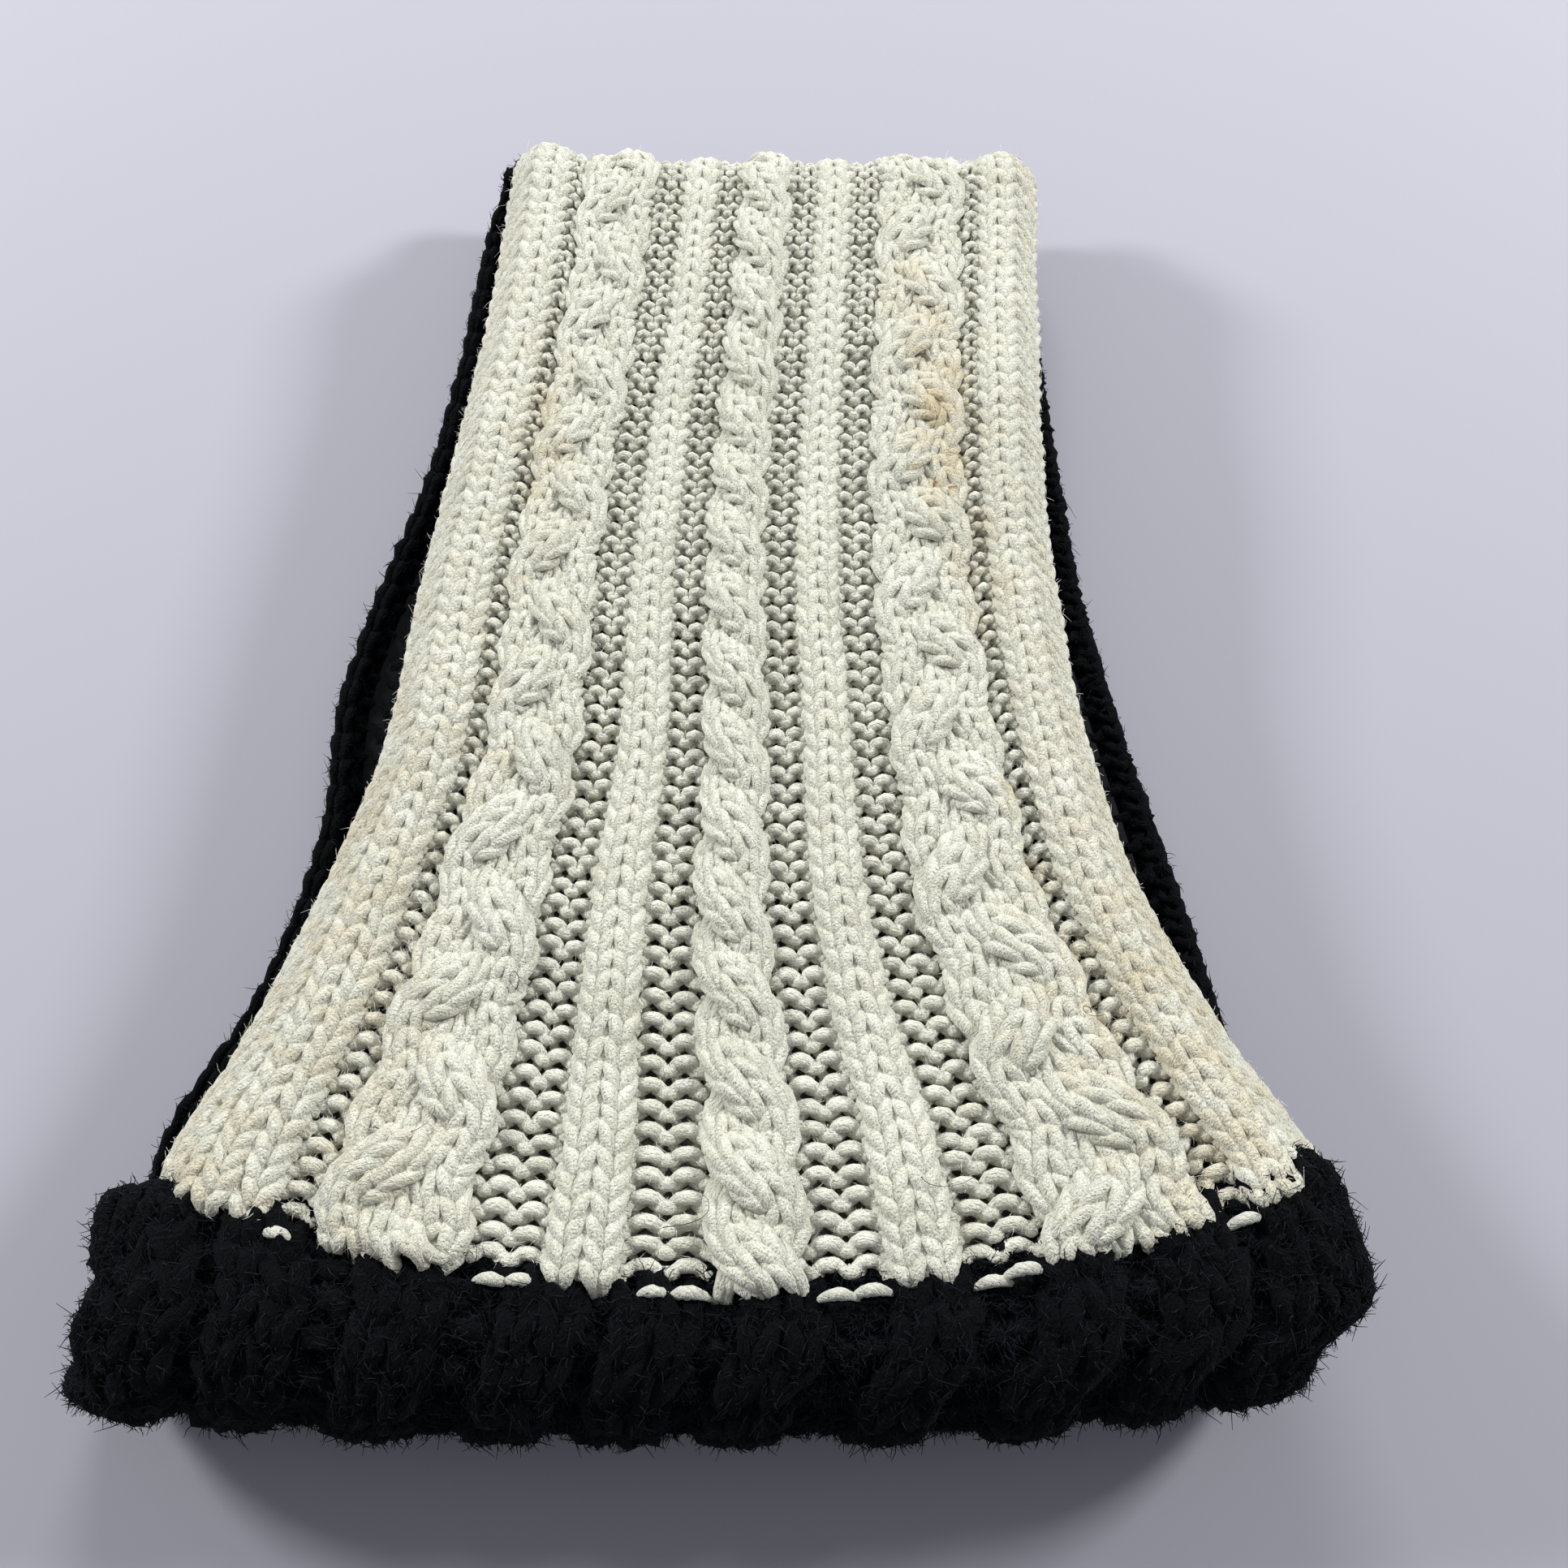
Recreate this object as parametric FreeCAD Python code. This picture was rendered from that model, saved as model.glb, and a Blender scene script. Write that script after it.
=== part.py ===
import FreeCAD, Part
import math
import os

from FreeCAD import Vector

# Knitted neck gaiter: one loop of knitting laid flat, cream cabled half above and bulky charcoal half
# below. +X runs along the loop's own axis (the way a head goes through), +Y from the near fold to the
# far fold, +Z up. The origin is at the middle of the footprint, on the surface it rests on. All in mm.

# ---- overall size
LENGTH = 330.0
WIDTH = 256.0
HEIGHT = 44.0

# ---- fabric thickness
CREAM_KNIT = 9.0
CREAM_PURL = 5.0
CHARCOAL = 11.0

# ---- folds: both ends of the flattened loop turn on this outer radius
FOLD_R = HEIGHT / 2
FOLD_Y = LENGTH / 2 - FOLD_R

# ---- small clearance left between neighbouring bands of one fabric
BAND_GAP = 0.2
CREAM_TOP = HEIGHT - 2.0
CREAM_UNDER = CREAM_TOP - CREAM_KNIT

# ---- the two selvedges of the cream fabric, as (y, left x, right x)
CREAM_EDGES = (
    (-150.0, -117.0, 124.0),
    (-118.0, -109.0, 115.0),
    (-85.0, -95.0, 98.0),
    (-58.0, -86.0, 87.0),
    (-20.0, -75.0, 78.0),
    (20.0, -71.5, 74.0),
    (57.0, -67.0, 73.0),
    (100.0, -62.0, 75.0),
    (143.0, -59.0, 78.0),
)

# ---- the two selvedges of the charcoal fabric, as (y, left x, right x)
CHARCOAL_EDGES = (
    (-143.0, -128.0, 128.0),
    (-105.0, -120.0, 121.0),
    (-70.0, -106.0, 110.0),
    (-30.0, -97.0, 103.0),
    (8.0, -91.0, 95.0),
    (43.0, -84.0, 88.0),
    (100.0, -76.0, 84.0),
    (143.0, -74.0, 84.0),
)
EDGE_BAND = 17.0

# ---- knit bands across the cream fabric: name, raised or recessed, share of the width at each end
BANDS = (
    ("left_edge_rib", True, 0.110, 0.116),
    ("left_gutter_purl", False, 0.017, 0.032),
    ("left_plait_cable", True, 0.155, 0.144),
    ("left_plait_purl", False, 0.045, 0.052),
    ("inner_left_rib", True, 0.068, 0.064),
    ("centre_left_purl", False, 0.033, 0.062),
    ("centre_rope_cable", True, 0.103, 0.083),
    ("centre_right_purl", False, 0.039, 0.053),
    ("inner_right_rib", True, 0.072, 0.061),
    ("right_plait_purl", False, 0.042, 0.056),
    ("right_plait_cable", True, 0.182, 0.168),
    ("right_gutter_purl", False, 0.023, 0.027),
    ("right_edge_rib", True, 0.111, 0.082),
)

# ---- the colour change: an arc that bows towards the near fold, and the row of stitches along it
CHANGE_LEFT = Vector(-109.0, -118.0, 0)
CHANGE_MIDDLE = Vector(3.0, -136.0, 0)
CHANGE_RIGHT = Vector(115.0, -116.0, 0)
CHANGE_ROW = 4.0

# ---- the seam that closes the loop on the outside of the far fold
SEAM_HALF_ANGLE = 4.0


def spline(points):
    """Returns an edge that passes smoothly through the points."""
    curve = Part.BSplineCurve()
    curve.interpolate(points)
    return curve.toShape()


def side_points(edges, share, shift):
    """Returns the points at one share of the width (0 at the left selvedge), moved along X by shift."""
    points = []
    for y, left, right in edges:
        points.append(Vector(left + share(y) * (right - left) + shift, y, 0))
    return points


def strip(left_points, right_points, bottom, top):
    """Returns a slab between two curves seen from above, from z = bottom to z = top."""
    left = spline(left_points)
    right = spline(right_points)
    near = Part.makeLine(left_points[0], right_points[0])
    far = Part.makeLine(left_points[-1], right_points[-1])
    face = Part.Face(Part.Wire([near, right, far, left]))
    face.translate(Vector(0, 0, bottom))
    return face.extrude(Vector(0, 0, top - bottom))


def change_prism(near_offset):
    """Returns the space on the cream side of the colour-change arc, moved near_offset towards the near fold."""
    shift = Vector(0, -near_offset, 0)
    out = Vector(60, 26, 0)
    start = CHANGE_LEFT + shift
    middle = CHANGE_MIDDLE + shift
    end = CHANGE_RIGHT + shift
    before = Vector(start.x - out.x, start.y + out.y, 0)
    after = Vector(end.x + out.x, end.y + out.y, 0)
    back_left = Vector(before.x, LENGTH, 0)
    back_right = Vector(after.x, LENGTH, 0)
    edges = [
        Part.makeLine(before, start),
        Part.Arc(start, middle, end).toShape(),
        Part.makeLine(end, after),
        Part.makeLine(after, back_right),
        Part.makeLine(back_right, back_left),
        Part.makeLine(back_left, before),
    ]
    face = Part.Face(Part.Wire(edges))
    face.translate(Vector(0, 0, -10))
    return face.extrude(Vector(0, 0, HEIGHT + 20))


def box(x0, x1, y0, y1, z0, z1):
    """Returns a box between the given limits."""
    return Part.makeBox(x1 - x0, y1 - y0, z1 - z0, Vector(x0, y0, z0))


def fold_sector(centre_y, outer, inner, start, sweep, x0, x1):
    """Returns part of a round fold along X; angles in degrees from +Y, turning up towards +Z."""
    centre = Vector(0, centre_y, HEIGHT / 2)
    radial = Vector(0, math.cos(math.radians(start)), math.sin(math.radians(start)))
    corners = [
        centre + radial * inner + Vector(x0, 0, 0),
        centre + radial * outer + Vector(x0, 0, 0),
        centre + radial * outer + Vector(x1, 0, 0),
        centre + radial * inner + Vector(x1, 0, 0),
    ]
    section = Part.Face(Part.makePolygon(corners + corners[:1]))
    return section.revolve(centre, Vector(1, 0, 0), sweep)


def cream_bands():
    """Returns the bands of the cream fabric's upper layer, by name."""
    cream_side = change_prism(0)
    solids = {}
    near_share = 0.0
    far_share = 0.0
    near_total = sum(band[3] for band in BANDS)
    far_total = sum(band[2] for band in BANDS)
    for name, raised, far, near in BANDS:
        starts = (near_share / near_total, far_share / far_total)
        near_share += near
        far_share += far
        ends = (near_share / near_total, far_share / far_total)
        left = side_points(CREAM_EDGES, share_along(*starts), BAND_GAP / 2)
        right = side_points(CREAM_EDGES, share_along(*ends), -BAND_GAP / 2)
        top = CREAM_TOP if raised else CREAM_UNDER + CREAM_PURL
        solids[name] = strip(left, right, CREAM_UNDER, top).common(cream_side)
    return solids


def share_along(near, far):
    """Returns the function of y that goes evenly from the near share to the far share."""

    def share(y):
        part = (y + FOLD_Y) / (2 * FOLD_Y)
        return near + (far - near) * min(max(part, 0.0), 1.0)

    return share


def cream_far_fold():
    """Returns the cream fabric's quarter turn over the far end, down to the seam."""
    _, left, right = CREAM_EDGES[-1]
    outer = CREAM_TOP - HEIGHT / 2
    turn = fold_sector(FOLD_Y, outer, outer - CREAM_KNIT, SEAM_HALF_ANGLE, 90 - SEAM_HALF_ANGLE, left, right)
    return turn


def charcoal_far_turn():
    """Returns the charcoal fabric's quarter turn up the far end, as far as the seam."""
    _, left, right = CHARCOAL_EDGES[-1]
    inner = FOLD_R - CHARCOAL
    return fold_sector(FOLD_Y, FOLD_R, inner, -90, 90 - SEAM_HALF_ANGLE, left, right)


def far_seam():
    """Returns the seam that joins the two fabrics on the outside of the far fold."""
    _, left, right = CREAM_EDGES[-1]
    inner = CREAM_TOP - HEIGHT / 2 - CREAM_KNIT
    gap = 0.5
    sweep = 2 * (SEAM_HALF_ANGLE - gap)
    return fold_sector(FOLD_Y, FOLD_R, inner, -SEAM_HALF_ANGLE + gap, sweep, left, right)


def near_fold():
    """Returns the charcoal fabric wrapped round the near end, from the colour change to the underside."""
    half = WIDTH / 2
    wrap = fold_sector(-FOLD_Y, FOLD_R, FOLD_R - CHARCOAL, 90, 180, -half, half)
    top = box(-half, half, -FOLD_Y, -95, HEIGHT - CHARCOAL, HEIGHT)
    top = top.cut(change_prism(CHANGE_ROW))
    return wrap.fuse(top).removeSplitter()


def change_stitches():
    """Returns the row of stitches where the cream yarn meets the charcoal."""
    gap = 0.2
    row = box(CHANGE_LEFT.x, CHANGE_RIGHT.x, -160, -90, CREAM_UNDER, CREAM_TOP)
    row = row.common(change_prism(CHANGE_ROW - gap))
    return row.cut(change_prism(gap))


def lower_panel():
    """Returns the middle of the charcoal lower layer and its two edge bands, by name."""
    left = side_points(CHARCOAL_EDGES, lambda y: 0.0, 0)
    left_inner = side_points(CHARCOAL_EDGES, lambda y: 0.0, EDGE_BAND)
    right_inner = side_points(CHARCOAL_EDGES, lambda y: 1.0, -EDGE_BAND)
    right = side_points(CHARCOAL_EDGES, lambda y: 1.0, 0)
    gap = Vector(BAND_GAP, 0, 0)
    return {
        "lower_left_edge": strip(left, left_inner, 0, CHARCOAL),
        "lower_panel": strip([p + gap for p in left_inner], [p - gap for p in right_inner], 0, CHARCOAL),
        "lower_right_edge": strip(right_inner, right, 0, CHARCOAL),
    }


def build():
    """Returns every piece of the gaiter, by node name."""
    solids = cream_bands()
    solids["cream_far_fold"] = cream_far_fold()
    solids["colour_change_row"] = change_stitches()
    solids["charcoal_near_fold"] = near_fold()
    solids["charcoal_far_turn"] = charcoal_far_turn()
    solids["far_seam"] = far_seam()
    solids.update(lower_panel())
    return solids


os.makedirs("parts", exist_ok=True)
for node, solid in build().items():
    if len(solid.Solids) != 1 or not solid.isValid():
        raise ValueError(node + " is not one sound solid")
    solid.Solids[0].exportStep("parts/" + node + ".step")
    size = solid.BoundBox
    print(node, "volume", round(solid.Volume), "z", round(size.ZMin, 1), round(size.ZMax, 1))
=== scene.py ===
"""Knitted neck gaiter, lying flat: a cream cabled half over a bulky brushed charcoal half, in one loop."""

import logging
import math
from collections.abc import Callable, Sequence
from dataclasses import dataclass, field, replace
from enum import Enum

import bpy
import numpy as np
from bpy.types import Material, Mesh, Node, NodeTree, Object
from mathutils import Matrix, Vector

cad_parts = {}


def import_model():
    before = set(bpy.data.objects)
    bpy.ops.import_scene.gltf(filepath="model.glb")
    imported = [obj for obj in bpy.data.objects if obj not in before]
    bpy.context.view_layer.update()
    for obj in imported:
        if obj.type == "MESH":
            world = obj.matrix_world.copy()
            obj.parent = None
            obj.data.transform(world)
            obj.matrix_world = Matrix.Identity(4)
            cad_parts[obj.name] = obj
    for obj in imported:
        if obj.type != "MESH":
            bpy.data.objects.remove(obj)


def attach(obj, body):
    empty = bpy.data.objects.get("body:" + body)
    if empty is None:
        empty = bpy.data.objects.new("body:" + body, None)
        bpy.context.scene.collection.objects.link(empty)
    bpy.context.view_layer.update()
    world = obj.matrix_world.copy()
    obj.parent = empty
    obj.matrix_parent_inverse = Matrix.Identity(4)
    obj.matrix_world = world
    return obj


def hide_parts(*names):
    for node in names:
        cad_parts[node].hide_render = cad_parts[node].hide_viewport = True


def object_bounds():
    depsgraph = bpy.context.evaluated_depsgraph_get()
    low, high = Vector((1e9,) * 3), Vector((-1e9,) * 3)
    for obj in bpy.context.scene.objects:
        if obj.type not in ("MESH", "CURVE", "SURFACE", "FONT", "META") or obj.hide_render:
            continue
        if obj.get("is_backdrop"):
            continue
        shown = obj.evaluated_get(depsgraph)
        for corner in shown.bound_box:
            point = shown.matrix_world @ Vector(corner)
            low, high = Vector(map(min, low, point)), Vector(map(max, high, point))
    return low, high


LOG = logging.getLogger("neck_gaiter")
MM = 0.001
TURN = 2 * math.pi
Array = np.ndarray
Points = tuple[tuple[float, float], ...]
Place = Callable[[Array, Array, Array], tuple[Array, Array]]
Track = Callable[[Array], Array]


class Face(Enum):
    """Which side of a stitch faces out."""

    KNIT = 1.0
    PURL = -1.0


class Lay(Enum):
    """How the stitches of a band travel as the rows go up."""

    STRAIGHT = "straight"
    ROPE = "rope"
    PLAIT = "plait"


@dataclass(frozen=True)
class Band:
    """One band of the cream fabric between two lines of stitches.

    near and far are its widths, as shares of the fabric, at the colour change and at the far fold.
    """

    name: str
    wales: int
    face: Face
    near: float
    far: float
    lay: Lay = Lay.STRAIGHT
    first_cross: float = 0.0


CREAM_BANDS = (
    Band("left_edge_rib", 3, Face.KNIT, 0.112, 0.108),
    Band("left_gutter_purl", 1, Face.PURL, 0.034, 0.021),
    Band("left_plait_cable", 6, Face.KNIT, 0.137, 0.146, Lay.PLAIT, 3.5),
    Band("left_plait_purl", 2, Face.PURL, 0.060, 0.053),
    Band("inner_left_rib", 2, Face.KNIT, 0.062, 0.064),
    Band("centre_left_purl", 2, Face.PURL, 0.071, 0.044),
    Band("centre_rope_cable", 4, Face.KNIT, 0.080, 0.098, Lay.ROPE, 0.7),
    Band("centre_right_purl", 2, Face.PURL, 0.063, 0.049),
    Band("inner_right_rib", 2, Face.KNIT, 0.059, 0.067),
    Band("right_plait_purl", 2, Face.PURL, 0.064, 0.050),
    Band("right_plait_cable", 6, Face.KNIT, 0.159, 0.169, Lay.PLAIT, 1.5),
    Band("right_gutter_purl", 1, Face.PURL, 0.030, 0.026),
    Band("right_edge_rib", 3, Face.KNIT, 0.080, 0.106),
)
CREAM_WALES = sum(band.wales for band in CREAM_BANDS)


def smooth(x: Array, low: float, high: float) -> Array:
    """Returns 0 below low, 1 above high, and an even curve between."""
    t = np.clip((x - low) / (high - low), 0.0, 1.0)
    return t * t * (3.0 - 2.0 * t)


def hump(x: Array, middle: float, half: float) -> Array:
    """Returns 1 at middle, falling evenly to about a third at a distance of half on both sides."""
    return np.exp(-(((x - middle) / half) ** 2))


WAVES = 6
WAVE_RATE = 2.2


def wander(seed: int, c: Array, s: Array, size: float) -> Array:
    """Returns a slow unevenness of hand knitting, about -1 to 1.

    Args:
        seed: picks the pattern.
        c: place across the fabric.
        s: place along it.
        size: how far apart its swells are, in the units of c and s.

    Returns:
        One value for each place.
    """
    rng = np.random.default_rng(seed)
    total = np.zeros(np.broadcast(c, s).shape)
    for _ in range(WAVES):
        kc, ks = rng.normal(0.0, 1.0 / size, 2)
        total = total + np.sin(kc * c * WAVE_RATE + ks * s * WAVE_RATE + rng.uniform(0.0, 6.28))
    return total / (WAVES / 2)


# ---------------------------------------------------------------- shape of the loop


@dataclass
class LoopShape:
    """The laid-flat loop that both fabrics follow; all sizes in millimetres.

    x is the distance to the right, y the distance back and z the height. A selvedge is a row of (y, x)
    points. row_heights gives how high the cream rows are, from the colour change (0) to the seam (1).
    far_corners holds (x, half width, reach) for what stands out of the far fold.
    """

    centre_x: float = 3.0
    middle_z: float = 22.0
    fold_y: float = 143.0
    seam_angle: float = math.radians(4.0)
    cream_rows: int = 66
    cream_turn: float = 15.0
    charcoal_rows: int = 54
    charcoal_turn: float = 16.5
    change_at: float = -136.0
    change_bow: float = 19.5
    change_half: float = 112.0
    cream_near_y: float = -118.0
    near_half: float = 125.0
    near_left: float = -116.5
    near_right: float = 114.5
    first_tuck: float = 3.0
    edge_wales: float = 1.7
    edge_curl: float = 5.5
    far_corners: tuple[tuple[float, float, float], ...] = ((-62.0, 17.0, 7.5), (80.0, 14.0, 3.5))
    row_heights: Points = (
        (0.0, 0.84), (0.05, 0.98), (0.3, 1.03), (0.5, 0.98), (0.62, 0.93), (0.8, 1.02), (1.0, 1.1),
    )  # fmt: skip
    cream_left: Points = (
        (-150, -117), (-118, -109), (-85, -95), (-58, -86), (-20, -75),
        (20, -71.5), (57, -67), (100, -62), (143, -59),
    )  # fmt: skip
    cream_right: Points = (
        (-150, 129), (-118, 118), (-85, 99), (-58, 87), (-20, 78),
        (20, 74), (57, 73), (100, 75), (143, 78),
    )  # fmt: skip
    charcoal_left: Points = (
        (-143, -121.5), (-105, -118), (-70, -103), (-30, -94), (5, -94),
        (31, -89), (68, -80), (100, -75), (143, -71),
    )  # fmt: skip
    charcoal_right: Points = (
        (-143, 109.5), (-105, 111), (-70, 106), (-41, 100), (-3, 92),
        (31, 86), (68, 83), (117, 80), (143, 78),
    )  # fmt: skip

    def change_y(self, x: Array) -> Array:
        """Returns how far back the colour change lies at x: it bows towards the near fold."""
        return self.change_at + self.change_bow * ((x - self.centre_x) / self.change_half) ** 2

    def far_edge(self, x: Array) -> Array:
        """Returns how much farther back the far fold lies at x: its corners stand out, the left one most."""
        total = 2.0
        for middle, half, reach in self.far_corners:
            total = total + reach * hump(x, middle, half)
        return total

    def near_bow(self, x: Array) -> Array:
        """Returns how much farther back the near fold lies at x than in the middle."""
        return 6.0 * (np.abs(x - self.centre_x) / self.near_half) ** 3 + 5.0 * smooth(x, 40.0, self.near_half)

    def edge(self, table: Points, y: Array) -> Array:
        """Returns a selvedge's x at y, as a smooth curve through its table."""
        ys, xs = np.array(table, float).T
        slope = np.gradient(xs, ys)
        y = np.clip(y, ys[0], ys[-1])
        i = np.clip(np.searchsorted(ys, y) - 1, 0, len(ys) - 2)
        step = ys[i + 1] - ys[i]
        t = (y - ys[i]) / step
        return (
            (2 * t**3 - 3 * t**2 + 1) * xs[i]
            + (t**3 - 2 * t**2 + t) * step * slope[i]
            + (-2 * t**3 + 3 * t**2) * xs[i + 1]
            + (t**3 - t**2) * step * slope[i + 1]
        )

    def cream_x(self, c: Array, far: Array, y: Array) -> Array:
        """Returns the x of wale c at y.

        Args:
            c: wale, from 0 at the left selvedge.
            far: from 0 at the colour change to 1 at the far fold, which sets the bands' widths.
            y: distance back.

        Returns:
            The x.
        """
        marks = np.cumsum([0] + [band.wales for band in CREAM_BANDS])
        past = (np.minimum(c, 0) + np.maximum(c - CREAM_WALES, 0)) * 0.03
        shares = []
        for widths in ([band.near for band in CREAM_BANDS], [band.far for band in CREAM_BANDS]):
            at = np.cumsum([0.0] + [width / sum(widths) for width in widths])
            shares.append(np.interp(c, marks, at) + past)
        near, away = shares
        left = self.edge(self.cream_left, y)
        right = self.edge(self.cream_right, y)
        return left + (near + (away - near) * far) * (right - left)

    def row_run(self, t: Array) -> Array:
        """Returns how much of the cream fabric lies before row share t, since its rows aren't all as high."""
        grid = np.linspace(-0.05, 1.05, 100)
        pitch = np.interp(grid, *zip(*self.row_heights))
        run = np.concatenate(([0.0], np.cumsum((pitch[1:] + pitch[:-1]) / 2)))
        run = run - np.interp(0.0, grid, run)
        run = run / np.interp(1.0, grid, run)
        return np.interp(t, grid, run)

    def cream(self, c: Array, s: Array, h: Array) -> tuple[Array, Array]:
        """Places points of the cream fabric.

        Args:
            c: wale, from 0 at the left selvedge.
            s: row, from 0 at the colour change to cream_rows at the seam.
            h: height off the middle of the fabric, outwards.

        Returns:
            The points and the fabric's outward direction there.
        """
        start = self.change_y(self.cream_x(c, np.zeros_like(s), np.full_like(s, self.cream_near_y)))
        flat = self.fold_y - start
        d = self.row_run(s / self.cream_rows) * (flat + self.cream_turn * (math.pi / 2 - self.seam_angle))
        y = start + np.minimum(d, flat)
        turn = np.maximum(d - flat, 0.0) / self.cream_turn
        x = self.cream_x(c, np.clip((y + self.fold_y) / (2 * self.fold_y), 0.0, 1.0), y)
        out = np.stack([np.zeros_like(y), np.sin(turn), np.cos(turn)], -1)
        lift = h - self.roll(c) + self.cream_swell(x, y) * np.cos(turn)
        lift = lift - self.first_tuck * smooth(-s, 0.30, 0.95)
        back = self.far_edge(x) * smooth(y, 60.0, self.fold_y)
        z = self.middle_z + self.cream_turn * np.cos(turn)
        base = np.stack([x, y + back + self.cream_turn * np.sin(turn), z], -1)
        return base + lift[..., None] * out, out

    def roll(self, c: Array) -> Array:
        """Returns how far the selvedge wales curl down."""
        inside = np.minimum(c, CREAM_WALES - c)
        return self.edge_curl * np.clip(1.0 - inside / self.edge_wales, 0.0, 1.6) ** 2

    def cream_swell(self, x: Array, y: Array) -> Array:
        """Returns the slow rise and fall of the cream fabric: up beside the near fold, down in the middle."""
        near = 1.2 * hump(y, -128.0, 22.0)
        sag = -1.6 * hump(y, -20.0, 70.0)
        return near + sag + 0.7 * wander(5, x / 45.0, y / 45.0, 1.0)

    def charcoal(self, c: Array, s: Array, h: Array) -> tuple[Array, Array]:
        """Places points of the charcoal fabric.

        Args:
            c: place across, from 0 at the left selvedge to 1 at the right.
            s: row, from 0 at the colour change down to minus charcoal_rows at the seam.
            h: height off the middle of the fabric, outwards.

        Returns:
            The points and the fabric's outward direction there.
        """
        r = self.charcoal_turn
        top_x = -117.0 + 233.0 * c
        start = self.change_y(top_x) - 17.0 * smooth(np.abs(top_x - self.centre_x), 100.0, 124.0)
        first = start + self.fold_y
        bend = math.pi * r
        under = 2 * self.fold_y
        last = r * (math.pi / 2 - self.seam_angle)
        d = np.clip(-s / self.charcoal_rows, -0.03, 1.0) * (first + bend + under + last)
        past = d - first
        near_turn = np.clip(past, 0.0, bend) / r
        far_turn = np.clip(past - bend - under, 0.0, last) / r
        y = start - np.minimum(d, first) + np.clip(past - bend, 0.0, under)
        angle = near_turn + far_turn
        notch = 2.0 * hump(past, -2.0, 5.0) - 1.0 * smooth(near_turn, 0.1, 0.4)
        left = self.near_left + notch - 5.5 * smooth(near_turn, 0.9, 1.6) + 1.5 * smooth(near_turn, 2.4, 3.1)
        right = self.near_right + 5.0 * smooth(past, -28.0, 0.0) - 10.0 * smooth(near_turn, 0.35, 0.9)
        left = np.where(past < bend, left, self.edge(self.charcoal_left, y))
        right = np.where(past < bend, right, self.edge(self.charcoal_right, y))
        left = left + 6.0 * smooth(far_turn, 0.1, 1.5)
        right = right - 4.0 * smooth(far_turn, 0.1, 1.5)
        x = left + c * (right - left)
        y = y + self.near_bow(x) * smooth(-y, 60.0, 136.0) + self.far_edge(x) * smooth(y, 60.0, self.fold_y)
        out = np.stack([np.zeros_like(y), -np.sin(angle), np.cos(angle)], -1)
        centre = np.stack([x, y, np.full_like(y, self.middle_z)], -1)
        return centre + (r + h)[..., None] * out, out


# ---------------------------------------------------------------- yarn


@dataclass(frozen=True)
class Yarn:
    """A knitting yarn and the loop it makes.

    radius is in millimetres, and twist in radians per millimetre. reach is half a knit loop's height, in
    rows, and purl_reach half a purl's. lean is how far the legs slant, in wales, and far_lean how much more
    towards the far fold. depth and tilt are how far the loop goes through the fabric, in millimetres. swell
    is how much fatter the yarn is where it lies free, purl_share how fat a purl is against a knit stitch, and
    wave how far a purl's crest rises and falls, in rows. samples are counted for each stitch, and sides round
    the yarn.
    """

    radius: float
    reach: float
    purl_reach: float
    lean: float
    depth: float
    tilt: float
    samples: int
    sides: int
    far_lean: float = 0.0
    swell: float = 0.12
    twist: float = 0.2
    purl_share: float = 0.84
    wave: float = 0.20


CREAM_YARN = Yarn(1.16, 1.10, 0.66, 0.25, 1.15, 0.7, 16, 8, far_lean=0.07)
CHARCOAL_YARN = Yarn(2.05, 0.98, 0.7, 0.27, 1.4, 0.6, 14, 9, purl_share=1.0)
NEAR_FOLD_YARN = replace(CHARCOAL_YARN, samples=24, sides=12)

RUN_SHIFT = 37.0
LOWEST_MM = 0.15


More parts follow.
